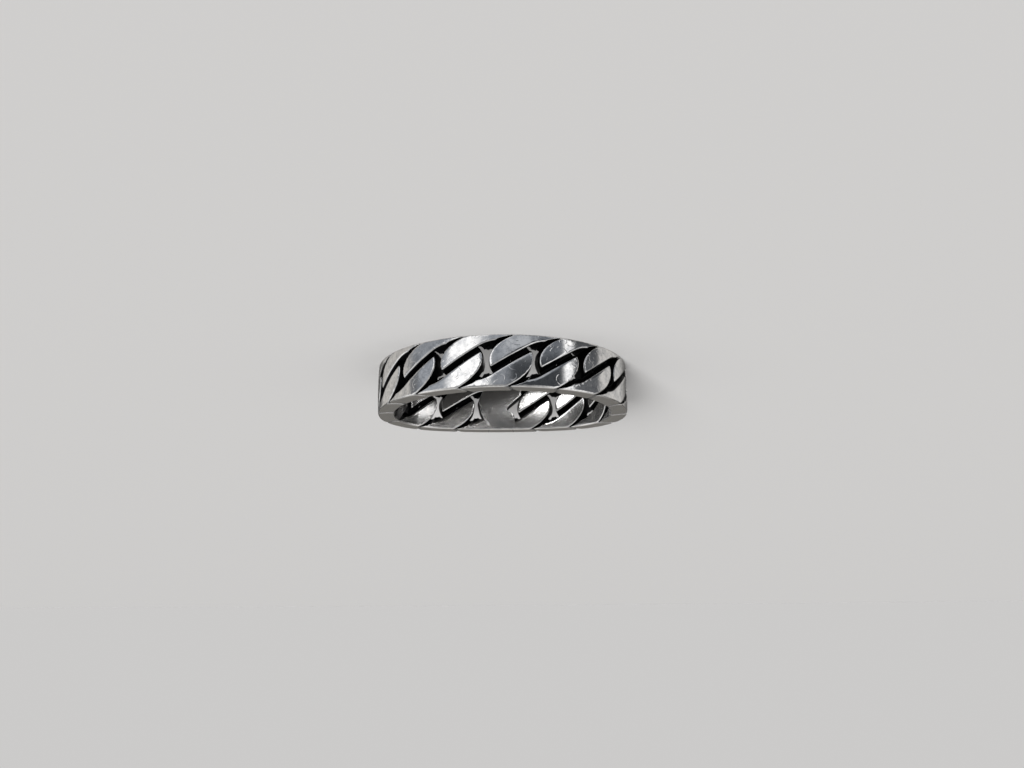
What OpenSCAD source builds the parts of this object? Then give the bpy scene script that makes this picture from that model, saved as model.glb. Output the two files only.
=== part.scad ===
// Woven ring: a band of flattened curb links, closed by a solid joint plate.
// The ring lies on its side. Its axis is Z, the front is at -Y and the joint plate at +Y.
// A link is worked out flat first: x runs along the band, y out of it and z across it.

/* [Ring] */
// Outer radius of the round front
front_r = 11.75; // [11.4:0.05:12.6]
// Outer radius of the tighter corners
corner_r = 7; // [6.4:0.1:8]
// Half of the angle that the round front covers
front_angle = 92; // [86:1:96]
// Angle from the front at which the corners give way to the shallow back
back_angle = 165; // [160:1:170]
// Height of the band, along the finger
band_h = 4.5; // [4.3:0.1:4.8]
// Thickness of the band
wall = 1.55; // [1.5:0.05:1.65]
// Place of the front's middle slot along the band, from the front's middle
slot_shift = -0.7; // [-1:0.1:1]

/* [Links] */
// Links that move freely, beside the two that are soldered to the joint plate
free_links = 14; // [14]
// Wire's width on the outer side of a link
wire_out = 0.81; // [0.78:0.01:0.84]
// Wire's half thickness before the band is filed flat
wire_half = 1.5; // [1.4:0.02:1.6]
// How far a link's corners are twisted out of the band's middle
twist = 1.58; // [1.5:0.02:1.66]
// Extra width of the wire on the inner side of a link's corners
lobe_extra = 0.28; // [0.2:0.02:0.3]
// Height of a link before its rims are filed flat
raw_h = 5.35; // [5.2:0.05:5.5]
// Gap in the middle of a link, between its neighbours' ends, before they bulge into it
window_w = 0.88; // [0.8:0.02:0.96]
// Bulge of a link's round ends into that gap, halfway through the band
end_bulge = 0.18; // [0.1:0.02:0.22]
// Slope of the slots between the lobes, from the band's length
slot_angle = 31.8; // [31:0.2:33]
// Width of the slots between the lobes
slot_w = 0.62; // [0.56:0.02:0.7]
// Height of the slots' middles above the band's middle
slot_rise = -0.14; // [-0.2:0.02:0]
// How far the round ends of the lobes lean along the band, for 1 mm of height
lean = 0.2; // [0.1:0.02:0.24]
// Width of a link's thin tail along the rim
tail_w = 0.5; // [0.44:0.02:0.56]
// Width of the seam between a tail and the next link
seam_w = 0.8; // [0.76:0.01:0.84]
// Half of the gap between two links where they cross
link_gap = 0.07; // [0.06:0.005:0.08]

/* [Joint plate] */
// Length of the joint plate at its middle height
plate_l = 3.4; // [3.3:0.05:3.5]
// Distance of the plate's middle from the ring's, towards +X
plate_shift = 0.5; // [0.4:0.05:0.6]

/* [Hidden] */
link_names = [for (i = [1 : free_links]) str("link_", i < 10 ? "0" : "", i)];

// Stations round a link and sides of its wire
stations = 44;
sides = 10;
// Rounding of the filed edges, and the thinnest part of the wire in a slot
edge_r = 0.045;
web = 0.1;
// Thinnest that a link may be between its slot and the next link
least = 0.03;
// Steepness of a slot's sides and of a tail's dive under the next link
slot_slope = 2.5;
dive_slope = 5;
// Distance inside a link's outline, for one unit across it
dive_reach = 0.85;
// Rounding of a slot's edge where it turns along the tail
tail_bend = 0.5;
// Shapes of the wire's section, of the twist along the link and of its ends' bulge
section_power = 3.4;
twist_power = 1.4;
bulge_power = 5;

half_t = wall / 2;
half_h = band_h / 2;
// Radius of the back's arc, and the centres of the corner's and the back's arcs from the front's
back_r = corner_r + (front_r - corner_r) * sin(front_angle) / sin(back_angle);
corner_c = (front_r - corner_r) * [sin(front_angle), -cos(front_angle)];
back_c = corner_c - (back_r - corner_r) * [sin(back_angle), -cos(back_angle)];
ring_depth = front_r + back_c[1] + back_r;
// Lengths of the three arcs along the band's middle line
front_len = (front_r - half_t) * front_angle * PI / 180;
corner_len = (corner_r - half_t) * (back_angle - front_angle) * PI / 180;
back_len = (back_r - half_t) * (180 - back_angle) * PI / 180;
half_len = front_len + corner_len + back_len;
pitch = 2 * half_len / (free_links + 2);

// Columns and rows of the plate's ends, up its height and from its ends at middle height
HEIGHT = 0;
LOW_END = 1;
HIGH_END = 2;
plate_ends = [
    [0, -0.8, -0.3],
    [0.2, -0.8, -0.3],
    [0.35, 0, -0.3],
    [0.5, 0.6, -0.15],
    [0.56, 0.7, -0.05],
    [0.62, 0.1, 0],
    [0.76, -0.1, -0.35],
    [0.88, -0.05, -0.75],
    [1, 0.1, -0.75]
];

// Half length and half height of a link's outline and of its wire's middle line
link_a = pitch - window_w / 2;
link_b = raw_h / 2;
line_a = link_a - wire_out;
line_b = link_b - wire_out;
wire_in = line_a - pitch / 2 - link_gap;
// Run of a slot's edge along the band for one unit of height, on the faces
slot_run = 1 / tan(slot_angle);
slot_shift_x = slot_w / 2 / sin(slot_angle);
saddle = slot_run / half_t;

// Place on the band's plan: s runs along its middle line from the front, y out of it
function plan(s, y) =
    let (m = abs(s),
         on_front = m <= front_len,
         on_corner = m <= front_len + corner_len,
         r = on_front ? front_r : on_corner ? corner_r : back_r,
         c = on_front ? [0, 0] : on_corner ? corner_c : back_c,
         start = on_front ? 0 : on_corner ? front_angle : back_angle,
         run = on_front ? m : on_corner ? m - front_len : m - front_len - corner_len,
         a = start + run / (r - half_t) * 180 / PI)
    [sign(s) * (c[0] + (r - half_t + y) * sin(a)),
     front_r - ring_depth / 2 + c[1] - (r - half_t + y) * cos(a)];

// A value held under a limit, with a rounded turn
function under(v, limit) =
    v < limit - edge_r ? v : limit - edge_r * edge_r / (v - limit + 2 * edge_r);

function power(v, p) = sign(v) * pow(abs(v), p);

// The lower of two heights, with a wide rounded turn between them
function soft_min(a, b, r) =
    let (h = max(r - abs(a - b), 0) / r)
    min(a, b) - h * h * r / 4;

// Outer limit of a link's upper strand: the filed face, its own slot, the dive of
// its tail and, under the next link, the twisted face where the two links cross
function strand_top(x, z) =
    let (slant = sqrt(1 + slot_run * slot_run),
         own_z = soft_min(half_h - tail_w, (x + pitch / 2 + slot_shift_x) / slot_run, tail_bend),
         own = max(half_t - slot_slope * (own_z - z) * slot_run / slant, web),
         end_d = (pitch / 2 + slot_shift_x - x + slot_run * z) / slant,
         end = max(half_t - slot_slope * end_d, web),
         reach = norm([(x - pitch - lean * z) / link_a, z / link_b]),
         inside = max(0, (1 - reach) * link_a * dive_reach + seam_w),
         ramp = saddle * z,
         cross = (x - pitch / 2 - link_gap * sqrt(1 + ramp * ramp)) / ramp)
    min(half_t, x > 0 ? max(min(cross, end), own - dive_slope * inside) : own);

// Metal left between a slot and the saddle at a flat place, on whichever side it is thinner
function room(p) =
    let (side = p[1] < 0 ? -1 : 1, height = max(abs(p[1]), 0.001))
    strand_top(side * p[0], height) + strand_top(-side * p[0], height);

// Share of the way q from a wire's middle point p that leaves metal enough, by halving
function fitted(p, q, share, step) =
    step < 0.004 ? share
    : fitted(p, q, room(p + share * q) < least ? share - step : min(share + step, 1), step / 2);

// One point of a link at station angle t and section angle f
function link_point(t, f) =
    let (c = cos(t), s = sin(t),
         n = [line_b * c, line_a * s] / norm([line_b * c, line_a * s]),
         reach = cos(f) > 0 ? wire_out : wire_in + lobe_extra * abs(sin(2 * t)),
         bulge = end_bulge * pow(abs(c) * max(cos(f), 0), bulge_power),
         u = reach * power(cos(f), 2 / section_power) + bulge,
         v = wire_half * power(sin(f), 2 / section_power),
         y_raw = v - twist * power(c, twist_power) * s,
         tilt = lean * max(-1, min(1, y_raw / half_t)),
         p = [line_a * c + tilt * line_b * s, line_b * s],
         q = [u * (n[0] + tilt * n[1]), u * n[1]],
         place = p + fitted(p, q, 1, 0.5) * q,
         side = place[1] < 0 ? -1 : 1,
         x = place[0],
         height = max(abs(place[1]), 0.001),
         z = side * under(abs(place[1]), half_h - side * slot_rise),
         y_top = under(y_raw, strand_top(side * x, height)),
         y = -under(-y_top, strand_top(-side * x, height)))
    [x, y, z + slot_rise];

// A link's points on the ring, its middle at s
function on_ring(p, s) =
    let (q = plan(s + p[0], p[1]))
    [q[0], q[1], p[2] + half_h];

// The mesh of one closed link
module link_body(s, points) {
    faces = [for (i = [0 : stations - 1], j = [0 : sides - 1])
        let (i2 = (i + 1) % stations, j2 = (j + 1) % sides,
             a = i * sides + j, b = i2 * sides + j,
             c = i2 * sides + j2, d = i * sides + j2)
        each [[a, c, b], [a, d, c]]];
    polyhedron([for (p = points) on_ring(p, s)], faces);
}

link_points = [for (i = [0 : stations - 1], j = [0 : sides - 1])
    link_point((i + 0.5) * 360 / stations, j * 360 / sides)];

// Place of link i's middle along the band, the soldered ones being 0 and the last
function link_place(i) = slot_shift + (i + 0.5 - (free_links + 2) / 2) * pitch;

module link(i) {
    color("silver") link_body(link_place(i), link_points);
}

// The plate's face outline, wavy at both ends as it follows the lobes that it joins
module plate_outline() {
    low = [for (row = plate_ends)
        [plate_shift - plate_l / 2 + row[LOW_END], row[HEIGHT] * band_h]];
    high = [for (k = [len(plate_ends) - 1 : -1 : 0])
        [plate_shift + plate_l / 2 + plate_ends[k][HIGH_END], plate_ends[k][HEIGHT] * band_h]];
    polygon(concat(low, high));
}

// The plate with the last link on each side, which are soldered into it
module joint_plate() {
    color("silver") {
        translate([0, ring_depth / 2, 0]) rotate([90, 0, 0])
            linear_extrude(wall) plate_outline();
        link_body(link_place(0), link_points);
        link_body(link_place(free_links + 1), link_points);
    }
}

for (i = [1 : free_links]) {
    link(i);
}
joint_plate();
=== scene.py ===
"""A woven silver ring: a band of flattened curb links, closed by a solid joint plate.

The ring lies on its side, its axis along Z, its front at -Y and its joint plate at +Y.
Shapes are worked out flat and in millimetres, with x along the band, y out of it and z
across it from its middle. They are then carried onto the ring, in metres.
"""

import bmesh
import bpy
import numpy as np
from mathutils import Matrix, Vector


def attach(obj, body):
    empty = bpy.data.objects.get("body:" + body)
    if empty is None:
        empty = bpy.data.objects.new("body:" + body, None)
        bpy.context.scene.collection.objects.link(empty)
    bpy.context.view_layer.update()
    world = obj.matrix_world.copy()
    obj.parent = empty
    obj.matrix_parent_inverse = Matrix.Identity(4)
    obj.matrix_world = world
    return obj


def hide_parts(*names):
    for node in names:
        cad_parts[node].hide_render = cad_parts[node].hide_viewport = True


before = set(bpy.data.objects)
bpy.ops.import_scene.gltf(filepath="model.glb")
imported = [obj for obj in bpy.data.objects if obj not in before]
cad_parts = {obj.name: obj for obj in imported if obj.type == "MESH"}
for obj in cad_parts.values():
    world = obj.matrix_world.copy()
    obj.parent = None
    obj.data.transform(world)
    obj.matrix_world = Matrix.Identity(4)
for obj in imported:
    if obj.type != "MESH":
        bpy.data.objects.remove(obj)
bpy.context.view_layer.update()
scene = bpy.context.scene

# The curb links: sixteen of round silver wire, hooked through each other and twisted so that
# they lie flat, and then filed on the outside, the inside and both rims. What is left of each
# link on a face is two lobes with a diagonal slot between them.

MM = 0.001
# Height and thickness of the band, and how much lower its outer face is at the rims
BAND_H = 4.5
WALL = 1.55
FACE_FALL = 0.07
HALF_T = WALL / 2
HALF_H = BAND_H / 2

# The band's plan is three arcs on each side: the round front, a tighter corner and a shallow
# back, whose radius lets both sides meet opposite the front. Angles are from the front.
# An arc has a radius, the angle and the heading of its start, its length, the length before it,
# both along the middle line, and its centre.
FRONT_R, CORNER_R = 11.75, 7.0
FRONT_ANGLE, BACK_ANGLE = np.radians(92), np.radians(165)
BACK_R = CORNER_R + (FRONT_R - CORNER_R) * np.sin(FRONT_ANGLE) / np.sin(BACK_ANGLE)
ARC_R = np.array([FRONT_R, CORNER_R, BACK_R])
ARC_START = np.array([0, FRONT_ANGLE, BACK_ANGLE])
ARC_LEN = (ARC_R - HALF_T) * np.diff([*ARC_START, np.pi])
ARC_RUN = np.array([0, ARC_LEN[0], ARC_LEN[0] + ARC_LEN[1]])
HEADING = np.stack([np.sin(ARC_START), -np.cos(ARC_START)], 1)
CORNER_C = (FRONT_R - CORNER_R) * HEADING[1]
ARC_C = np.array([[0, 0], CORNER_C, CORNER_C - (BACK_R - CORNER_R) * HEADING[2]])
HALF_LEN = ARC_LEN.sum()
RING_DEPTH = FRONT_R + ARC_C[2, 1] + BACK_R

# Links round the band, the two soldered ones among them, and the front slot's place along it
LINKS = 16
SLOT_PLACE = -0.7
PITCH = 2 * HALF_LEN / LINKS

# The gap inside a link between its neighbours' ends, how far these bulge into it and how sharply,
# and how far their outline leans along the band for each mm across it, on the outer face one way
# and on the inner face the other
WINDOW_W = 0.88
END_BULGE = 0.22
BULGE_POWER = 5
LEAN = 0.2
# Height of a link before its rims are filed
RAW_H = 5.3
# Half of the room between two links where they cross
LINK_GAP = 0.018

# The wire: its width on the link's outer side, its half thickness, the power of its rounded
# square section, and how much wider its inner side is at the link's corners
WIRE_OUT = 0.81
WIRE_HALF = 1.5
SQUARE = 4.0
LOBE_EXTRA = 0.28
# How far the corners are twisted out of the band, and how this grows towards the ends
TWIST = 1.58
TWIST_POWER = 1.4

# Half length and half height of a link's outline and of its wire's middle line, and the wire's
# width on the link's inner side
LINK_A = PITCH - WINDOW_W / 2
LINK_B = RAW_H / 2
LINE_A = LINK_A - WIRE_OUT
LINE_B = LINK_B - WIRE_OUT
WIRE_IN = LINE_A - PITCH / 2 - LINK_GAP

# The slots: width, slope from the band's length, how much their middles are below the band's,
# steepness of their sides, and the thinnest metal under them
SLOT_W = 0.62
SLOT_ANGLE = np.radians(31.8)
SLOT_DROP = 0.14
SLOT_SLOPE = 2.5
WEB = 0.1
# A slot's run along the band for each mm across it, and its half width along the band
SLOT_RUN = 1 / np.tan(SLOT_ANGLE)
SLOT_HALF_X = SLOT_W / 2 / np.sin(SLOT_ANGLE)
# The face between two crossing links is a saddle. It is shifted along the band by this, for each
# mm out of the band times each mm across it, and is worked out from this far across upwards.
SADDLE = SLOT_RUN / HALF_T
LOWEST = 0.001
# Thinnest metal between a slot and the saddle, and the halvings that find it
LEAST = 0.03
HALVINGS = 11

# A link's thin tail along the rim: its width, the rounding where the slot turns along it, how
# steeply it dives under the next link, and the distance inside that link's outline for each mm
# along the band
TAIL_W = 0.5
TAIL_BEND = 0.5
DIVE_SLOPE = 9.0
DIVE_REACH = 0.85
# The seam beside a tail, on the face and at the rim, and the heights between which it narrows
SEAM_W, RIM_SEAM_W = 0.6, 0.28
NARROW_FROM, NARROW_TO = 1.9, 2.25

# Rounding of the filed edges, and of those between a face and a rim
EDGE_R = 0.12
RIM_R = 0.09


def soft_min(a, b, r=EDGE_R):
    """The lower of two heights, with a rounded turn where they are within r of each other."""
    h = np.maximum(r - np.abs(a - b), 0) / r
    return np.minimum(a, b) - h * h * r / 4


def on_band(s, y, z):
    """A flat point carried onto the ring. Along s it turns round the centre of the arc that it is
    on, at that arc's radius plus y, and the outer face is a little lower towards the rims."""
    s = (s + HALF_LEN) % (2 * HALF_LEN) - HALF_LEN
    m = np.abs(s)
    arc = (m > ARC_RUN[1]).astype(int) + (m > ARC_RUN[2])
    middle = ARC_R[arc] - HALF_T
    a = ARC_START[arc] + (m - ARC_RUN[arc]) / middle
    r = middle + y - FACE_FALL * (z / HALF_H) ** 2 * np.maximum(y, 0) / HALF_T
    x = np.sign(s) * (ARC_C[arc, 0] + r * np.sin(a))
    back = FRONT_R - RING_DEPTH / 2 + ARC_C[arc, 1] - r * np.cos(a)
    return np.stack([x, back, z + HALF_H], -1)


def strand_top(x, z):
    """Outer limit of a link's upper strand: the filed face, the slope down into its own slot, the
    dive of its tail beneath the next link, and the saddle face where the two links cross."""
    slant = np.hypot(1, SLOT_RUN)
    own_z = soft_min(HALF_H - TAIL_W, (x + PITCH / 2 + SLOT_HALF_X) / SLOT_RUN, TAIL_BEND)
    own = np.maximum(HALF_T - SLOT_SLOPE * (own_z - z) * SLOT_RUN / slant, WEB)
    to_end = (PITCH / 2 + SLOT_HALF_X - x + SLOT_RUN * z) / slant
    end = np.maximum(HALF_T - SLOT_SLOPE * to_end, WEB)
    reach = np.hypot((x - PITCH - LEAN * z) / LINK_A, z / LINK_B)
    seam = np.interp(z, [NARROW_FROM, NARROW_TO], [SEAM_W, RIM_SEAM_W])
    inside = np.maximum(0, (1 - reach) * LINK_A * DIVE_REACH + seam)
    ramp = SADDLE * z
    cross = (x - PITCH / 2 - LINK_GAP * np.hypot(1, ramp)) / ramp
    under = np.maximum(np.minimum(cross, end), own - DIVE_SLOPE * inside)
    return soft_min(np.where(x > 0, under, own), HALF_T)


def broken_edge(y, z):
    """The edge between a face and a rim, rounded: where a point is within RIM_R of both, it is
    drawn onto the circle of that radius which touches both."""
    a = np.maximum(np.abs(y) - HALF_T + RIM_R, 0)
    b = np.maximum(np.abs(z) - HALF_H + RIM_R, 0)
    pull = np.minimum(RIM_R / np.maximum(np.hypot(a, b), RIM_R), 1) - 1
    return y + np.sign(y) * a * pull, z + np.sign(z) * b * pull


def link_surface(t, f):
    """A link's surface: round the oval at angle t, and round the wire's section at angle f. The
    wire is a rounded square, thrown out of the band towards two corners, leaning a little in the
    outer face, and then filed. Where the slot and the saddle leave no metal between them, points
    are drawn in towards the wire's middle, by halving, until they do."""
    c, s = np.cos(t), np.sin(t)
    nx, nz = LINE_B * c, LINE_A * s
    length = np.hypot(nx, nz)
    nx, nz = nx / length, nz / length
    cf, sf = np.cos(f), np.sin(f)
    reach = np.where(cf > 0, WIRE_OUT, WIRE_IN + LOBE_EXTRA * np.abs(np.sin(2 * t)))
    u = reach * np.sign(cf) * np.abs(cf) ** (2 / SQUARE)
    u = u + END_BULGE * (np.abs(c) * np.maximum(cf, 0)) ** BULGE_POWER
    v = WIRE_HALF * np.sign(sf) * np.abs(sf) ** (2 / SQUARE)
    raw_y = v - TWIST * np.sign(c) * np.abs(c) ** TWIST_POWER * s
    lean = LEAN * np.clip(raw_y / HALF_T, -1, 1)

    def filed(share):
        z = LINE_B * s + share * u * nz
        x = LINE_A * c + share * u * nx + lean * z
        side = np.where(z < 0, -1, 1)
        height = np.maximum(np.abs(z), LOWEST)
        z = side * soft_min(np.abs(z), HALF_H)
        return x, z, strand_top(side * x, height), strand_top(-side * x, height)

    share = np.ones_like(raw_y)
    for step in 0.5 ** np.arange(1, HALVINGS + 1):
        x, z, outer, inner = filed(share)
        share = np.where(outer + inner < LEAST, share - step, np.minimum(share + step, 1))
    x, z, outer, inner = filed(share)
    y = soft_min(raw_y, outer)
    y = -soft_min(-y, inner)
    y, z = broken_edge(y, z)
    return np.stack([x, y, z - SLOT_DROP * (1 - (z / HALF_H) ** 2)], -1)


# A link's mesh: places round the oval, points round the section, and the fine steps that both
# are chosen from
STATIONS, SIDES = 340, 80
OVAL_STEPS, SECTION_STEPS = 4000, 720
# Points placed by turn for each one placed by length, and how many steps of the section and
# rows on either side are taken together
TURN_SHARE = 0.9
TURN_REACH, ROW_REACH = 3, 4
# All rows are looked up at once, each in a stretch of its own: this wide in the total, and this
# far from the next in f
ROW_WIDTH, ROW_STRIDE = 0.999999, 10
# Steps shorter than this, in mm, don't count as turning
NO_STEP = 1e-6


def spread(values, reach, axis):
    """Each value with those up to reach places before and after it added to it."""
    return sum(np.roll(values, k, axis) for k in range(-reach, reach + 1))


def even_rows(stations, sides):
    """Angles t and f of a link's grid. The values of t are even steps along the oval. In each row
    those of f are even steps of a total that grows with the section's length and with how much
    it turns, so that they are closer together at the edges."""
    raw = np.linspace(0, 2 * np.pi, OVAL_STEPS + 1)
    run = np.cumsum(np.hypot(LINE_A * np.sin(raw), LINE_B * np.cos(raw)))
    t = np.interp((np.arange(stations) + 0.5) / stations * run[-1], run, raw)[:, None]
    f = np.linspace(0, 2 * np.pi, SECTION_STEPS + 1)[None, :]
    steps = np.diff(link_surface(t, f), axis=1)
    length = np.linalg.norm(steps, axis=2)
    way = steps / np.maximum(length, 1e-9)[..., None]
    turn = np.arccos(np.clip((way * np.roll(way, 1, 1)).sum(2), -1, 1))
    turn[np.minimum(length, np.roll(length, 1, 1)) < NO_STEP] = 0
    turn = spread(turn, TURN_REACH, 1)
    share = length / length.sum(1, keepdims=True) + TURN_SHARE * turn / turn.sum(1, keepdims=True)
    share = spread(share, ROW_REACH, 0)
    total = np.concatenate([np.zeros((stations, 1)), np.cumsum(share, 1)], 1)
    total /= total[:, -1:]
    rows = np.arange(stations)[:, None]
    wanted = np.arange(sides)[None, :] / sides + rows
    total, f = total * ROW_WIDTH + rows, f + ROW_STRIDE * rows
    found = np.interp(wanted.ravel(), total.ravel(), f.ravel())
    return t, found.reshape(stations, sides) - ROW_STRIDE * rows


def ring_faces(rows, columns):
    """The quads of a grid that closes on itself both ways, facing outwards."""
    i, j = np.meshgrid(np.arange(rows), np.arange(columns), indexing="ij")
    i2, j2 = (i + 1) % rows, (j + 1) % columns
    quads = [i * columns + j, i2 * columns + j, i2 * columns + j2, i * columns + j2]
    return np.stack(quads, -1).reshape(-1, 4)


def node_tree_tools(tree):
    """Short ways to add a node, with its values, and to join two sockets."""

    def add(kind, values=(), **settings):
        node = tree.nodes.new(kind)
        for key, value in settings.items():
            setattr(node, key, value)
        for key, value in dict(values).items():
            node.inputs[key].default_value = value
        return node

    def join(*pairs):
        for source, target in pairs:
            tree.links.new(source, target)

    return add, join


# Swirls: points for each mm, radius in mm, half width of the line in mm, shift in mm
SWIRLS = [(0.75, 0.55, 0.03, 0.0), (1.05, 0.33, 0.025, 3.0), (0.5, 0.9, 0.03, 7.0)]


def wear_group():
    """Wear of the polished faces. Swirls: thin circles round scattered points, which a slow noise
    breaks into arcs. Pits: small dots round a few of another set of scattered points. Tarnish:
    the cloudy patches of a noise."""
    group = bpy.data.node_groups.new("wear_marks", "ShaderNodeTree")
    group.interface.new_socket("Vector", in_out="INPUT", socket_type="NodeSocketVector")
    for socket in ("Swirls", "Pits", "Tarnish"):
        group.interface.new_socket(socket, in_out="OUTPUT", socket_type="NodeSocketFloat")
    add, join = node_tree_tools(group)
    inside, outside = add("NodeGroupInput"), add("NodeGroupOutput")
    vector = inside.outputs["Vector"]
    total = None
    for scale, radius, line, shift in SWIRLS:
        place = add("ShaderNodeMapping", {"Location": (shift, shift, 0)})
        points = add("ShaderNodeTexVoronoi", {"Scale": scale})
        off = add("ShaderNodeMath", {1: radius * scale}, operation="SUBTRACT")
        size = add("ShaderNodeMath", operation="ABSOLUTE")
        arc = add("ShaderNodeMapRange", {"From Max": line * scale, "To Min": 1.0, "To Max": 0.0})
        slow = add("ShaderNodeTexNoise", {"Scale": 1.7, "Detail": 1.0})
        part = add("ShaderNodeMapRange", {"From Min": 0.48, "From Max": 0.62})
        kept = add("ShaderNodeMath", operation="MULTIPLY")
        join(
            (vector, place.inputs["Vector"]),
            (place.outputs[0], points.inputs["Vector"]),
            (points.outputs["Distance"], off.inputs[0]),
            (off.outputs[0], size.inputs[0]),
            (size.outputs[0], arc.inputs["Value"]),
            (place.outputs[0], slow.inputs["Vector"]),
            (slow.outputs["Fac"], part.inputs["Value"]),
            (arc.outputs[0], kept.inputs[0]),
            (part.outputs[0], kept.inputs[1]),
        )
        if total is None:
            total = kept.outputs[0]
        else:
            most = add("ShaderNodeMath", operation="MAXIMUM")
            join((total, most.inputs[0]), (kept.outputs[0], most.inputs[1]))
            total = most.outputs[0]
    spots = add("ShaderNodeTexVoronoi", {"Scale": 2.6})
    fade = {"From Min": 0.05, "From Max": 0.13, "To Min": 1.0, "To Max": 0.0}
    dot = add("ShaderNodeMapRange", fade)
    pick = add("ShaderNodeMapRange", {"From Min": 0.6, "From Max": 0.65})
    few = add("ShaderNodeMath", operation="MULTIPLY")
    film = add("ShaderNodeTexNoise", {"Scale": 1.5, "Detail": 5.0, "Roughness": 0.7})
    patch = add("ShaderNodeMapRange", {"From Min": 0.42, "From Max": 0.66})
    join(
        (vector, spots.inputs["Vector"]),
        (spots.outputs["Distance"], dot.inputs["Value"]),
        (spots.outputs["Color"], pick.inputs["Value"]),
        (dot.outputs[0], few.inputs[0]),
        (pick.outputs[0], few.inputs[1]),
        (vector, film.inputs["Vector"]),
        (film.outputs["Fac"], patch.inputs["Value"]),
        (total, outside.inputs["Swirls"]),
        (few.outputs[0], outside.inputs["Pits"]),
        (patch.outputs[0], outside.inputs["Tarnish"]),
    )
    return group


# The silver's colours: polished, under tarnish, brushed and oxidised
POLISHED = (0.94, 0.93, 0.92, 1)
TARNISHED = (0.62, 0.625, 0.64, 1)
BRUSHED = (0.80, 0.77, 0.72, 1)
OXIDISED = (0.012, 0.012, 0.013, 1)
# The black starts and is full this far below the filed surfaces, and a slow noise brings it
# nearer to them by up to the third number
BLACK_FROM, BLACK_FULL, BLACK_WANDER = 0.045, 0.095, 0.03
# The inner face's finish starts and is full at these places out of the band. It is this much
# streaked by its brushing, and dulled by this share of that.
INNER_FROM, INNER_FULL = -0.4, -0.7
INNER_STREAKS, INNER_DULLING = 0.8, 0.22
# Streaks of the brushing for each mm along the band, out of it and across it, and the height of
# streaks, swirls and pits
STREAKS = (0.8, 14, 14)
MARK_HEIGHT = 0.015


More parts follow.
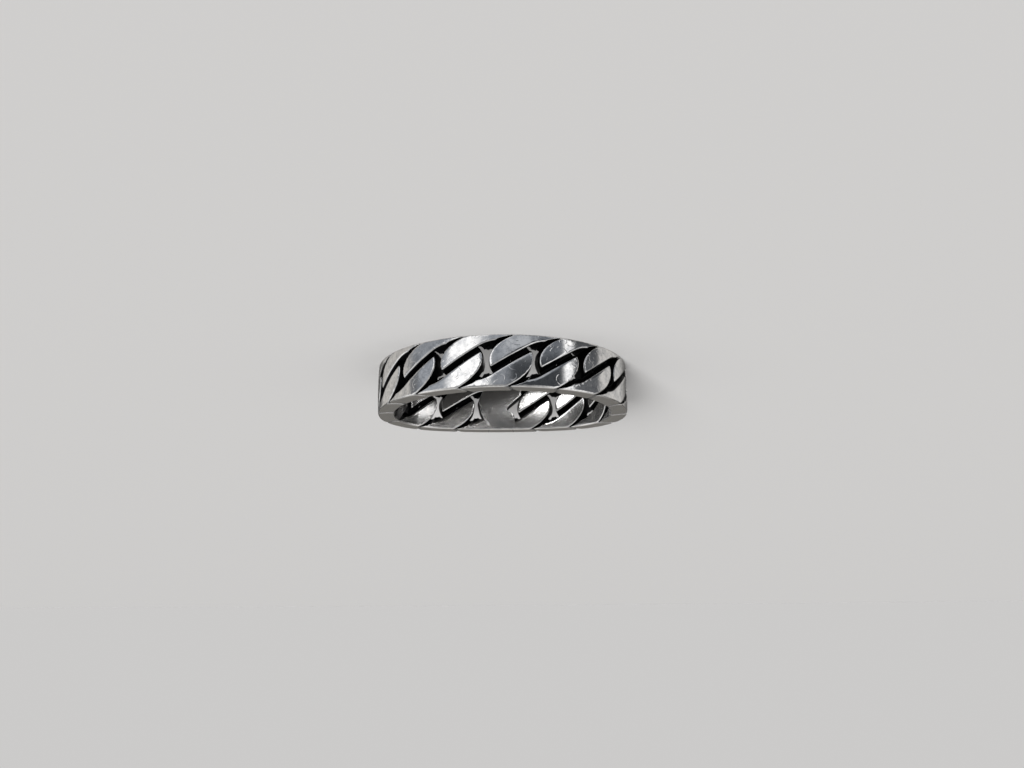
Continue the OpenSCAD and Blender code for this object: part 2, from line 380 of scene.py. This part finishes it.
def silver_material():
    """Silver, polished on the outer face, partly brushed on the inner face and brushed on the
    rims, with swirls, pits and tarnish, and oxidised black below the filed surfaces."""
    material = bpy.data.materials.new("oxidised_silver")
    material.use_nodes = True
    tree = material.node_tree
    tree.nodes.clear()
    add, join = node_tree_tools(tree)
    out = add("ShaderNodeOutputMaterial")
    metal = add("ShaderNodeBsdfPrincipled", {"Metallic": 1.0})
    below = add("ShaderNodeAttribute", attribute_name="below")
    rim = add("ShaderNodeAttribute", attribute_name="rim")
    flat = add("ShaderNodeAttribute", attribute_name="flat")

    uneven = add("ShaderNodeTexNoise", {"Scale": 3.0, "Detail": 3.0})
    wander = add("ShaderNodeMath", {1: BLACK_WANDER}, operation="MULTIPLY_ADD")
    dark = add("ShaderNodeMapRange", {"From Min": BLACK_FROM, "From Max": BLACK_FULL})
    join(
        (flat.outputs["Vector"], uneven.inputs["Vector"]),
        (uneven.outputs["Fac"], wander.inputs[0]),
        (below.outputs["Fac"], wander.inputs[2]),
        (wander.outputs[0], dark.inputs["Value"]),
    )

    wear = add("ShaderNodeGroup")
    wear.node_tree = wear_group()
    join((flat.outputs["Vector"], wear.inputs["Vector"]))

    depth = add("ShaderNodeSeparateXYZ")
    inner_face = {"From Min": INNER_FROM, "From Max": INNER_FULL, "To Max": INNER_STREAKS}
    inner = add("ShaderNodeMapRange", inner_face)
    dulled = add("ShaderNodeMath", {1: INNER_DULLING}, operation="MULTIPLY")
    brushed = add("ShaderNodeMath", operation="MAXIMUM")
    streaked = add("ShaderNodeMath", operation="MAXIMUM")
    join(
        (flat.outputs["Vector"], depth.inputs[0]),
        (depth.outputs["Y"], inner.inputs["Value"]),
        (inner.outputs[0], dulled.inputs[0]),
        (dulled.outputs[0], brushed.inputs[0]),
        (rim.outputs["Fac"], brushed.inputs[1]),
        (inner.outputs[0], streaked.inputs[0]),
        (rim.outputs["Fac"], streaked.inputs[1]),
    )

    brush_place = add("ShaderNodeMapping", {"Scale": STREAKS})
    brush = add("ShaderNodeTexNoise", {"Scale": 1.0, "Detail": 4.0, "Roughness": 0.7})
    join((flat.outputs["Vector"], brush_place.inputs[0]), (brush_place.outputs[0], brush.inputs[0]))

    face = add("ShaderNodeMix", data_type="RGBA")
    face.inputs["A"].default_value = POLISHED
    face.inputs["B"].default_value = TARNISHED
    base = add("ShaderNodeMix", data_type="RGBA")
    base.inputs["B"].default_value = BRUSHED
    colour = add("ShaderNodeMix", data_type="RGBA")
    colour.inputs["B"].default_value = OXIDISED
    join(
        (wear.outputs["Tarnish"], face.inputs["Factor"]),
        (face.outputs["Result"], base.inputs["A"]),
        (brushed.outputs[0], base.inputs["Factor"]),
        (base.outputs["Result"], colour.inputs["A"]),
        (dark.outputs[0], colour.inputs["Factor"]),
        (colour.outputs["Result"], metal.inputs["Base Color"]),
    )

    face_rough = add("ShaderNodeMapRange", {"To Min": 0.09, "To Max": 0.16})
    rim_rough = add("ShaderNodeMapRange", {"To Min": 0.2, "To Max": 0.45})
    rough = add("ShaderNodeMix")
    dark_rough = add("ShaderNodeMix", {"B": 0.5})
    join(
        (wear.outputs["Tarnish"], face_rough.inputs["Value"]),
        (brush.outputs["Fac"], rim_rough.inputs["Value"]),
        (brushed.outputs[0], rough.inputs["Factor"]),
        (face_rough.outputs[0], rough.inputs["A"]),
        (rim_rough.outputs[0], rough.inputs["B"]),
        (rough.outputs["Result"], dark_rough.inputs["A"]),
        (dark.outputs[0], dark_rough.inputs["Factor"]),
        (dark_rough.outputs["Result"], metal.inputs["Roughness"]),
    )

    marks = add("ShaderNodeMath", operation="ADD")
    relief = add("ShaderNodeMix")
    bump = add("ShaderNodeBump", {"Strength": 0.4, "Distance": MARK_HEIGHT * MM})
    join(
        (streaked.outputs[0], relief.inputs["Factor"]),
        (wear.outputs["Swirls"], marks.inputs[0]),
        (wear.outputs["Pits"], marks.inputs[1]),
        (marks.outputs[0], relief.inputs["A"]),
        (brush.outputs["Fac"], relief.inputs["B"]),
        (relief.outputs["Result"], bump.inputs["Height"]),
        (bump.outputs[0], metal.inputs["Normal"]),
        (metal.outputs[0], out.inputs["Surface"]),
    )
    return material


silver = silver_material()
# The brushing of the rims stops within this distance of them
RIM_BAND = 0.05


def band_mesh(name, flat, faces):
    """A piece of flat points carried onto the band. Its mesh keeps what the silver reads: each
    point's flat place in mm, its depth below the nearest filed surface, and its part in a rim."""
    mesh = bpy.data.meshes.new(name)
    mesh.from_pydata((on_band(*flat.T) * MM).tolist(), [], faces)
    mesh.shade_smooth()
    to_rim = HALF_H - np.abs(flat[:, 2])
    below = np.minimum(HALF_T - np.abs(flat[:, 1]), to_rim)
    rim = np.clip(1 - to_rim / RIM_BAND, 0, 1)
    place = mesh.attributes.new("flat", "FLOAT_VECTOR", "POINT")
    place.data.foreach_set("vector", flat.astype(np.float32).ravel())
    for key, values in (("below", below), ("rim", rim)):
        one = mesh.attributes.new(key, "FLOAT", "POINT")
        one.data.foreach_set("value", values.astype(np.float32))
    mesh.materials.append(silver)
    piece = bpy.data.objects.new(name, mesh)
    scene.collection.objects.link(piece)
    return piece


def link_place(i):
    """Place of link i's middle along the band. The two soldered links are 0 and the last."""
    return SLOT_PLACE + (i + 0.5 - LINKS / 2) * PITCH


one_link = link_surface(*even_rows(STATIONS, SIDES)).reshape(-1, 3)
link_quads = ring_faces(STATIONS, SIDES).tolist()
for i in range(1, LINKS - 1):
    link = band_mesh(f"curb_link_{i:02d}", one_link + [link_place(i), 0, 0], link_quads)
    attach(link, "root")
    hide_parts(f"link_{i:02d}")

# The joint plate: a solid plate of the same silver at the back, which closes the band. The
# last link on each side is soldered into it, and its faces and rims are filed flush with theirs.

# Length at middle height, distance of its middle from the ring's towards +X, edge's rounding
PLATE_L = 3.4
PLATE_SHIFT = 0.5
PLATE_EDGE = 0.11
# Up the plate: its height, and how far its ends are from those at the middle, towards +X
HEIGHT, LOW_END, HIGH_END = 0, 1, 2
PLATE_ENDS = np.array(
    [
        [0.00, -0.80, -0.30],
        [0.20, -0.80, 0.10],
        [0.35, 0.00, 0.35],
        [0.46, 0.60, 0.25],
        [0.56, 0.75, 0.15],
        [0.61, 0.10, 0.10],
        [0.76, -0.10, -0.25],
        [0.88, -0.05, -0.70],
        [1.00, 0.15, -0.75],
    ]
)
# Points of a wavy end's line, which goes on for a fifth of the height past both rims, those that
# are averaged into one, and those at each end that the averaging spoils
WAVE_POINTS, WAVE_REACH, WAVE_SPARE = 281, 17, 20


def plate_end(z, column):
    """The wavy line of the plate's end up its height: the rows joined by straight lines, and then
    averaged over a short stretch so that no corner is left."""
    fine = np.linspace(-0.2, 1.2, WAVE_POINTS)
    line = np.interp(fine, PLATE_ENDS[:, HEIGHT], PLATE_ENDS[:, column])
    window = np.hanning(WAVE_REACH)
    line = np.convolve(line, window / window.sum(), mode="same")
    good = slice(WAVE_SPARE, -WAVE_SPARE)
    return np.interp(z / BAND_H + 0.5, fine[good], line[good])


def plate_span(z):
    """Where the plate starts and stops along the band at a height, from its two ends' lines."""
    middle = HALF_LEN - PLATE_SHIFT
    start = middle - PLATE_L / 2 - plate_end(z, HIGH_END)
    stop = middle + PLATE_L / 2 - plate_end(z, LOW_END)
    return start, stop


# The plate's mesh: rows that close in on an end, rows along it, points round it, and how near
# to the end's middle the first row is
CAP_ROWS, LONG_ROWS, AROUND = 10, 60, 200
FIRST_ROW = 0.02


def plate_surface(long, cap, around):
    """A rounded block: the surface of a sharp block, its end faces closed in to a pole, pulled to
    the same block a little smaller and pushed out again by the edge's radius. Its length is then
    stretched between the lines of its two ends."""
    f = (np.arange(around) + 0.5) / around * 2 * np.pi
    box = np.maximum(np.abs(np.cos(f)), np.abs(np.sin(f)))
    grow, shrink = np.linspace(FIRST_ROW, 1, cap), np.linspace(1, FIRST_ROW, cap)
    size = np.concatenate([grow, np.ones(long), shrink])
    run = np.concatenate([np.zeros(cap), np.linspace(0, 1, long + 2)[1:-1], np.ones(cap)])
    sharp = np.stack(
        [
            (run * PLATE_L)[:, None] + 0 * f,
            size[:, None] * HALF_T * np.cos(f) / box,
            size[:, None] * HALF_H * np.sin(f) / box,
        ],
        -1,
    )
    low = np.array([PLATE_EDGE, PLATE_EDGE - HALF_T, PLATE_EDGE - HALF_H])
    core = np.clip(sharp, low, [PLATE_L - PLATE_EDGE, -low[1], -low[2]])
    push = sharp - core
    points = core + PLATE_EDGE * push / np.linalg.norm(push, axis=2, keepdims=True)
    poles = np.array([[0, 0, 0], [PLATE_L, 0, 0]])
    points = np.concatenate([points.reshape(-1, 3), poles])
    share, z = points[:, 0] / PLATE_L, points[:, 2]
    start, stop = plate_span(z)
    points[:, 0] = start + (stop - start) * share
    return points


def tube_faces(rows, around):
    """The quads of a tube of rows, and a fan of triangles from the pole at each end."""
    i, j = np.meshgrid(np.arange(rows - 1), np.arange(around), indexing="ij")
    j2 = (j + 1) % around
    below, above = i * around, (i + 1) * around
    quads = np.stack([below + j, above + j, above + j2, below + j2], -1).reshape(-1, 4)
    k = np.arange(around)
    k2, last = (k + 1) % around, (rows - 1) * around
    first_fan = np.stack([0 * k + rows * around, k, k2], -1)
    last_fan = np.stack([0 * k + rows * around + 1, last + k2, last + k], -1)
    return quads.tolist() + first_fan.tolist() + last_fan.tolist()


# A soldered link's end in the plate: from where along the link it is drawn back, how far, and
# how much lower than the plate's faces and rims it lies
DRAWN_FROM = 1.2
DRAWN_BACK = 0.75
SUNK = 0.02


def soldered_link(i, way):
    """Link i with its end on the plate's side drawn back, so that it stays inside the plate, and
    sunk a little below the plate's faces and rims from the plate's rounded edge inwards."""
    points = one_link.copy()
    near = np.clip((way * points[:, 0] - DRAWN_FROM) / (LINK_A - DRAWN_FROM), 0, 1)
    points[:, 0] -= way * DRAWN_BACK * near * near * (3 - 2 * near)
    points[:, 0] += link_place(i)
    if way < 0:
        points[:, 0] += 2 * HALF_LEN
    start, stop = plate_span(points[:, 2])
    deep = np.clip(np.minimum(points[:, 0] - start, stop - points[:, 0]) / PLATE_EDGE, 0, 1)
    points[:, 1:] *= 1 - SUNK * deep[:, None]
    return points


# A body of fewer points than this is a chip
CHIP_POINTS = 50


def without_chips(mesh):
    """The mesh without the chips that fusing leaves where two surfaces graze each other. Each
    point takes the lowest number among its neighbours until a body shares one number, and the
    bodies of few points are taken out."""
    ends = np.empty(len(mesh.edges) * 2, np.int32)
    mesh.edges.foreach_get("vertices", ends)
    a, b = ends.reshape(-1, 2).T
    body, before = np.arange(len(mesh.vertices)), None
    while before is None or (body != before).any():
        before = body.copy()
        np.minimum.at(body, a, before[b])
        np.minimum.at(body, b, before[a])
        body = body[body]
    chips = np.flatnonzero(np.bincount(body)[body] < CHIP_POINTS)
    work = bmesh.new()
    work.from_mesh(mesh)
    work.verts.ensure_lookup_table()
    bmesh.ops.delete(work, geom=[work.verts[k] for k in chips.tolist()], context="VERTS")
    work.to_mesh(mesh)
    work.free()


plate_faces = tube_faces(2 * CAP_ROWS + LONG_ROWS, AROUND)
plate_points = plate_surface(LONG_ROWS, CAP_ROWS, AROUND)
joint = band_mesh("joint_plate_silver", plate_points, plate_faces)
for i, way in ((LINKS - 1, 1), (0, -1)):
    end_link = band_mesh(f"soldered_{i}", soldered_link(i, way), link_quads)
    fuse = joint.modifiers.new("fuse", "BOOLEAN")
    fuse.operation, fuse.solver, fuse.object = "UNION", "MANIFOLD", end_link
    fused = joint.evaluated_get(bpy.context.evaluated_depsgraph_get())
    fused = bpy.data.meshes.new_from_object(fused)
    joint.modifiers.clear()
    joint.data = fused
    bpy.data.objects.remove(end_link)
without_chips(joint.data)
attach(joint, "root")
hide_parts("joint_plate")

# The floor: a plain pale disc that the ring lies on. The silver mirrors a darker room than this,
# so the floor isn't in its reflections.

# Radius in metres, and points round it
FLOOR_R = 3.0
FLOOR_POINTS = 128


def plain_material(name, values):
    """A material of one finish, by the values of its shader's sockets."""
    material = bpy.data.materials.new(name)
    material.use_nodes = True
    for socket, value in values.items():
        material.node_tree.nodes["Principled BSDF"].inputs[socket].default_value = value
    return material


bpy.ops.mesh.primitive_circle_add(vertices=FLOOR_POINTS, radius=FLOOR_R, fill_type="NGON")
floor = bpy.context.object
floor.name = "floor"
pale = {"Base Color": (0.62, 0.612, 0.604, 1), "Roughness": 0.9}
floor.data.materials.append(plain_material("pale_floor", pale))
floor.visible_glossy = False

# Two level patches that only the silver mirrors, both painted light. The dark one is painted shade:
# a near-black patch on the floor inside the ring, standing for that floor in the front wall's
# shadow.
# The white one is a painted highlight: a narrow glowing card, no lamp, which shows in the inner
# faces to one side of the plate.

# Gap between the dark patch and the wall round it, and heights of both above the floor
SHADE_GAP, SHADE_LIFT, CARD_LIFT = 0.2, 0.01, 0.02
SHADE_POINTS = 160
CARD = [(-1.9, 4.3), (-4.2, 3.9), (-1.1, -3.5), (-0.45, -3.5)]


def flat_patch(name, outline, material, unseen):
    """A level polygon of corners in mm, not seen by the named kinds of ray."""
    mesh = bpy.data.meshes.new(name)
    mesh.from_pydata((np.asarray(outline) * MM).tolist(), [], [tuple(range(len(outline)))])
    mesh.materials.append(material)
    patch = bpy.data.objects.new(name, mesh)
    scene.collection.objects.link(patch)
    for kind in unseen:
        setattr(patch, f"visible_{kind}", False)


round_band = np.linspace(-HALF_LEN, HALF_LEN, SHADE_POINTS, endpoint=False)
level = 0 * round_band
inner_wall = on_band(round_band, level - HALF_T - SHADE_GAP, level - HALF_H + SHADE_LIFT)
# Painted shade: a near-black patch that stands for the floor inside the ring in the front wall's
# shadow, seen only in the silver's reflections.
painted_shade = {"Base Color": (0.06, 0.058, 0.056, 1), "Specular IOR Level": 0}
painted_shade = plain_material("painted_shade_floor", painted_shade)
flat_patch("inner_floor_painted_shade", inner_wall, painted_shade, ("camera", "diffuse", "shadow"))

# Painted highlight: a glowing card, no lamp, which only reflections see, giving a bright streak on
# the inner faces beside the plate.
painted_highlight = {"Base Color": (0, 0, 0, 1), "Emission Color": (1, 1, 1, 1), "Emission Strength": 5.0}
painted_highlight = plain_material("painted_highlight_card", painted_highlight)
corners = [(x, y, CARD_LIFT) for x, y in CARD]
flat_patch("card", corners, painted_highlight, ("camera", "diffuse", "transmission", "shadow"))

# The studio: what the silver mirrors round the ring. It is a room of white cards, dark cloths
# and grey walls, in bands one above the other, and the camera sees a plain pale backdrop.

# A row is a panel: bearings that it starts and stops at, brightness, and warmth. Bearings are in
# degrees from the front, towards +X. The first band is the lowest, nearest to the ring.
LOW_NEAR = [
    (-180, -150, 0.30, 1),
    (-125, -100, 0.50, 1),
    (-97, -69, 0.08, -2),
    (-67, -59, 1.10, 0),
    (-57, -40, 0.15, -4),
    (-22, -5, 0.45, -2),
    (1, 12, 0.32, -3),
    (28, 47, 1.15, 0),
    (51, 90, 0.27, -3),
    (94, 130, 0.45, 1.5),
    (150, 180, 0.30, 1),
]
LOW_FAR = [
    (-180, -150, 0.15, 1),
    (-132, -98, 0.55, 1),
    (-95, -67, 0.12, -2),
    (-64, -58, 1.10, 0),
    (-54, -10, 0.05, -4),
    (-3, 9, 0.26, -3),
    (16, 46, 1.20, 0),
    (53, 78, 0.35, -3),
    (82, 88, 0.15, -2),
    (93, 138, 0.50, 1.5),
    (145, 180, 0.12, 1),
]
WALLS = [
    (-180, -115, 0.13, 1),
    (-75, -55, 0.90, 0),
    (-30, 40, 0.30, 0),
    (75, 90, 0.90, 0),
    (120, 180, 0.13, 1),
]
CEILING = [(-180, 180, 0.62, 0)]
# What one step of warmth adds to red and takes from blue
MORE_RED, LESS_BLUE = 0.02, 0.03

world = bpy.data.worlds.new("studio")
scene.world = world
world.use_nodes = True
world.node_tree.nodes.clear()
add, join = node_tree_tools(world.node_tree)
coords = add("ShaderNodeTexCoord")
split = add("ShaderNodeSeparateXYZ")
minus = add("ShaderNodeMath", {1: -1.0}, operation="MULTIPLY")
angle = add("ShaderNodeMath", operation="ARCTAN2")
turn = add("ShaderNodeMapRange", {"From Min": -np.pi, "From Max": np.pi})
join(
    (coords.outputs["Generated"], split.inputs[0]),
    (split.outputs["Y"], minus.inputs[0]),
    (split.outputs["X"], angle.inputs[0]),
    (minus.outputs[0], angle.inputs[1]),
    (angle.outputs[0], turn.inputs["Value"]),
)


def panel_ramp(panels):
    """Brightness of the studio round the ring, by bearing. Each panel is even from where it
    starts to where it stops, and between two panels they blend in a straight line."""
    ramp = add("ShaderNodeValToRGB")
    elements = ramp.color_ramp.elements
    ends = [(b, *panel[2:]) for panel in panels for b in panel[:2]]
    for k, (bearing, level, warmth) in enumerate([ends[0], ends[-1], *ends[1:-1]]):
        place = bearing / 360 + 0.5
        one = elements[k] if k < 2 else elements.new(place)
        one.position = place
        red, blue = level * (1 + MORE_RED * warmth), level * (1 - LESS_BLUE * warmth)
        one.color = (red, level, blue, 1)
    join((turn.outputs[0], ramp.inputs[0]))
    return ramp.outputs[0]


def stacked(lowest, *bands):
    """The ramps one above the other. Each of the upper bands gives the heights where it starts
    and is full, as sines of the elevation, and its ramp."""
    below = lowest
    for start, stop, above in bands:
        level = add("ShaderNodeMapRange", {"From Min": start, "From Max": stop})
        mix = add("ShaderNodeMix", data_type="RGBA")
        join(
            (split.outputs["Z"], level.inputs["Value"]),
            (level.outputs[0], mix.inputs["Factor"]),
            (below, mix.inputs["A"]),
            (above, mix.inputs["B"]),
        )
        below = mix.outputs["Result"]
    return below


studio = stacked(
    panel_ramp(LOW_NEAR),
    (-0.33, -0.27, panel_ramp(LOW_FAR)),
    (-0.02, 0.04, panel_ramp(WALLS)),
    (0.5, 0.75, panel_ramp(CEILING)),
)
background = add("ShaderNodeBackground", {"Strength": 1.0})
plain = add("ShaderNodeBackground", {"Color": (0.6, 0.593, 0.587, 1), "Strength": 1.0})
light_path = add("ShaderNodeLightPath")
choose = add("ShaderNodeMixShader")
out = add("ShaderNodeOutputWorld")
join(
    (studio, background.inputs["Color"]),
    (light_path.outputs["Is Camera Ray"], choose.inputs[0]),
    (background.outputs[0], choose.inputs[1]),
    (plain.outputs[0], choose.inputs[2]),
    (choose.outputs[0], out.inputs["Surface"]),
)

# The key light: one wide soft lamp, far in front of the ring on its +X side and a little above
# it, which casts the ring's shadow. The silver doesn't mirror it.

KEY_WAY = (-3.5, 9.5, -2.6)
sun = bpy.data.lights.new("key", "SUN")
sun.energy = 6.2
sun.angle = np.radians(22)
key = bpy.data.objects.new("key", sun)
scene.collection.objects.link(key)
key.visible_glossy = False
key.rotation_euler = Vector(KEY_WAY).to_track_quat("-Z", "Y").to_euler()

# The camera looks at the front from a little above the floor, turned upside down, so that the
# front wall is at the top of the picture and the inside of the back shows below it.

# Elevation and roll in radians, and distance from the ring's middle in mm
TILT = 0.244
ROLL = 0.00704
DISTANCE = 83.8
# The picture, the lens and the place where its axis meets the picture, all in pixels, and the
# sensor's width in mm
PICTURE_W, PICTURE_H = 1024, 768
LENS_PIXELS = 900
AXIS_X, AXIS_Y = 502.5, 388.5
SENSOR = 36
right = Vector((-1, 0, 0))
up = Vector((0, -np.sin(TILT), -np.cos(TILT)))
back = right.cross(up)
right, up = np.cos(ROLL) * right - np.sin(ROLL) * up, np.sin(ROLL) * right + np.cos(ROLL) * up
turned = Matrix((right, up, back)).transposed().to_4x4()
turned.translation = Vector((0, 0, HALF_H * MM)) + back * DISTANCE * MM
camera = bpy.data.objects.new("camera", bpy.data.cameras.new("camera"))
scene.collection.objects.link(camera)
camera.matrix_world = turned
camera.data.sensor_width = SENSOR
camera.data.lens = LENS_PIXELS / PICTURE_W * SENSOR
camera.data.shift_x = (PICTURE_W / 2 - AXIS_X) / PICTURE_W
camera.data.shift_y = (AXIS_Y - PICTURE_H / 2) / PICTURE_W
camera.data.clip_start = 0.005
camera.data.clip_end = 20
scene.camera = camera
scene.view_settings.view_transform = "Standard"
